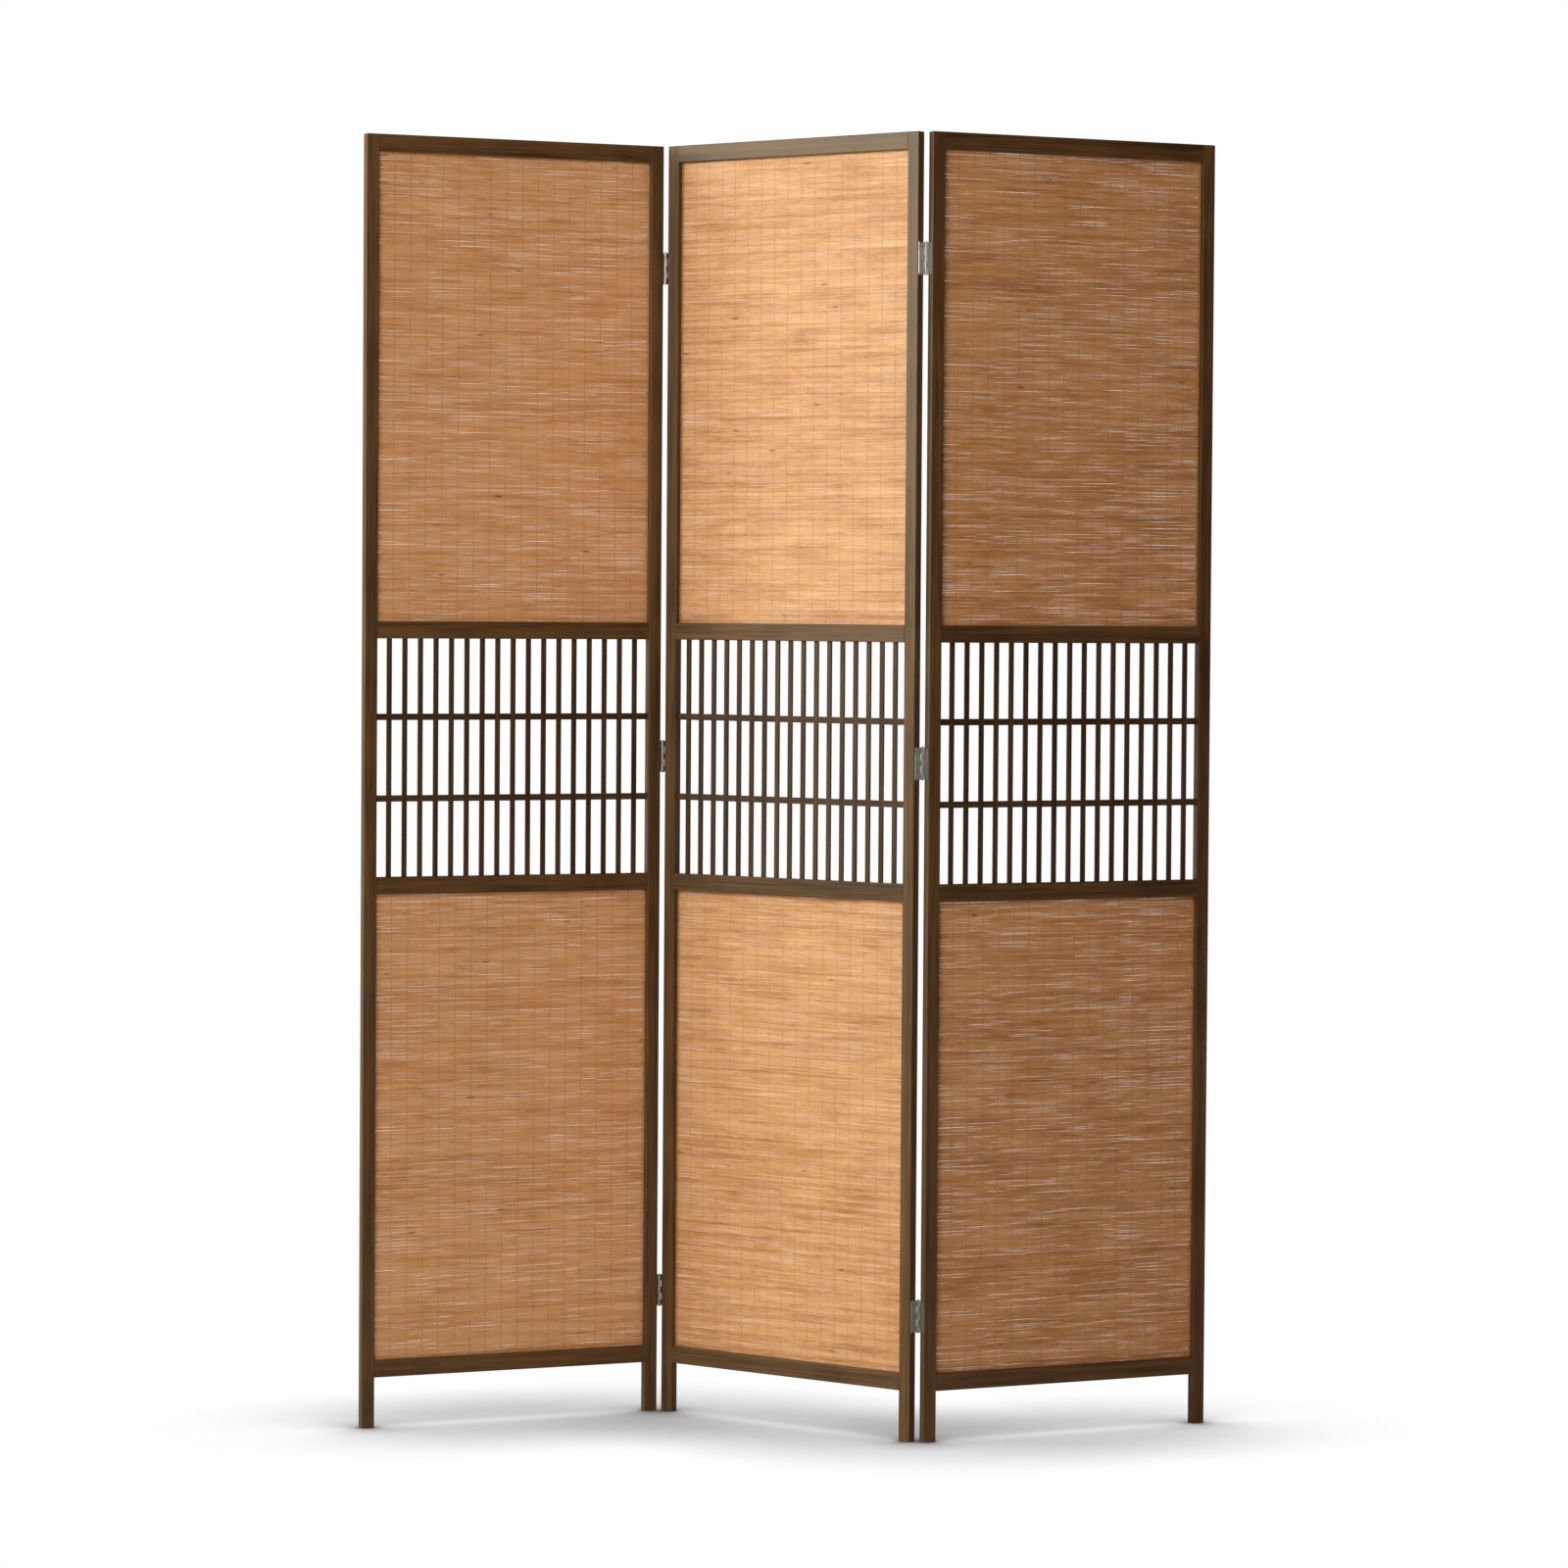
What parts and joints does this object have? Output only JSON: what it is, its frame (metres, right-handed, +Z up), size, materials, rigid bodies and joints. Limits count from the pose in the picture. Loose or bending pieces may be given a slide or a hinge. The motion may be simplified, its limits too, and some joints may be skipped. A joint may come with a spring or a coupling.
{
  "type": "folding screen",
  "caption": "Freestanding bamboo folding screen: wood-framed panels with woven bamboo mats above and below an open slat lattice, joined by butt hinges to fold flat.",
  "frame": {"origin": "centre of the footprint of the half-open zigzag, on the floor", "axes": "+Z up along the stiles, +X to the viewer's right along the zigzag, the front of the screen faces -Y"},
  "size_m": [1.1868, 0.2988, 1.8],
  "materials": {
    "frame_wood": "dark brown stain, satin",
    "lattice_wood": "dark brown stain, satin",
    "bamboo_mat": "woven bamboo slivers, clear satin",
    "dowel_wood": "plain unfinished beech",
    "hinge_steel": "zinc plated",
    "screw_steel": "zinc plated"
  },
  "bodies": {
    "middle_panel": {"left_fold_low_hinge_middle_leaf": "hinge_steel", "left_fold_low_hinge_pin": "hinge_steel", "left_fold_mid_hinge_middle_leaf": "hinge_steel", "left_fold_mid_hinge_pin": "hinge_steel", "left_fold_top_hinge_middle_leaf": "hinge_steel", "left_fold_top_hinge_pin": "hinge_steel", "middle_panel_bottom_rail": "frame_wood", "middle_panel_dowels": "dowel_wood", "middle_panel_hinge_screws": "screw_steel", "middle_panel_lattice_slats": "lattice_wood", "middle_panel_left_stile": "frame_wood", "middle_panel_lower_lattice_bar": "lattice_wood", "middle_panel_lower_mat": "bamboo_mat", "middle_panel_lower_mid_rail": "frame_wood", "middle_panel_right_stile": "frame_wood", "middle_panel_top_rail": "frame_wood", "middle_panel_upper_lattice_bar": "lattice_wood", "middle_panel_upper_mat": "bamboo_mat", "middle_panel_upper_mid_rail": "frame_wood", "right_fold_low_hinge_middle_leaf": "hinge_steel", "right_fold_low_hinge_pin": "hinge_steel", "right_fold_mid_hinge_middle_leaf": "hinge_steel", "right_fold_mid_hinge_pin": "hinge_steel", "right_fold_top_hinge_middle_leaf": "hinge_steel", "right_fold_top_hinge_pin": "hinge_steel"},
    "left_panel": {"left_fold_low_hinge_left_leaf": "hinge_steel", "left_fold_mid_hinge_left_leaf": "hinge_steel", "left_fold_top_hinge_left_leaf": "hinge_steel", "left_panel_bottom_rail": "frame_wood", "left_panel_dowels": "dowel_wood", "left_panel_hinge_screws": "screw_steel", "left_panel_lattice_slats": "lattice_wood", "left_panel_left_stile": "frame_wood", "left_panel_lower_lattice_bar": "lattice_wood", "left_panel_lower_mat": "bamboo_mat", "left_panel_lower_mid_rail": "frame_wood", "left_panel_right_stile": "frame_wood", "left_panel_top_rail": "frame_wood", "left_panel_upper_lattice_bar": "lattice_wood", "left_panel_upper_mat": "bamboo_mat", "left_panel_upper_mid_rail": "frame_wood"},
    "right_panel": {"right_fold_low_hinge_right_leaf": "hinge_steel", "right_fold_mid_hinge_right_leaf": "hinge_steel", "right_fold_top_hinge_right_leaf": "hinge_steel", "right_panel_bottom_rail": "frame_wood", "right_panel_dowels": "dowel_wood", "right_panel_hinge_screws": "screw_steel", "right_panel_lattice_slats": "lattice_wood", "right_panel_left_stile": "frame_wood", "right_panel_lower_lattice_bar": "lattice_wood", "right_panel_lower_mat": "bamboo_mat", "right_panel_lower_mid_rail": "frame_wood", "right_panel_right_stile": "frame_wood", "right_panel_top_rail": "frame_wood", "right_panel_upper_lattice_bar": "lattice_wood", "right_panel_upper_mat": "bamboo_mat", "right_panel_upper_mid_rail": "frame_wood"}
  },
  "joints": [
    {"name": "left_fold", "type": "hinge", "parent": "middle_panel", "child": "left_panel", "pos_m": [-0.17855, 0.13689, 0.9], "axis": [0, 0, 1], "range_deg": [-64.6, 115.4]},
    {"name": "right_fold", "type": "hinge", "parent": "middle_panel", "child": "right_panel", "pos_m": [0.18407, -0.13717, 0.9], "axis": [0, 0, 1], "range_deg": [-66.3, 113.7]}
  ]
}
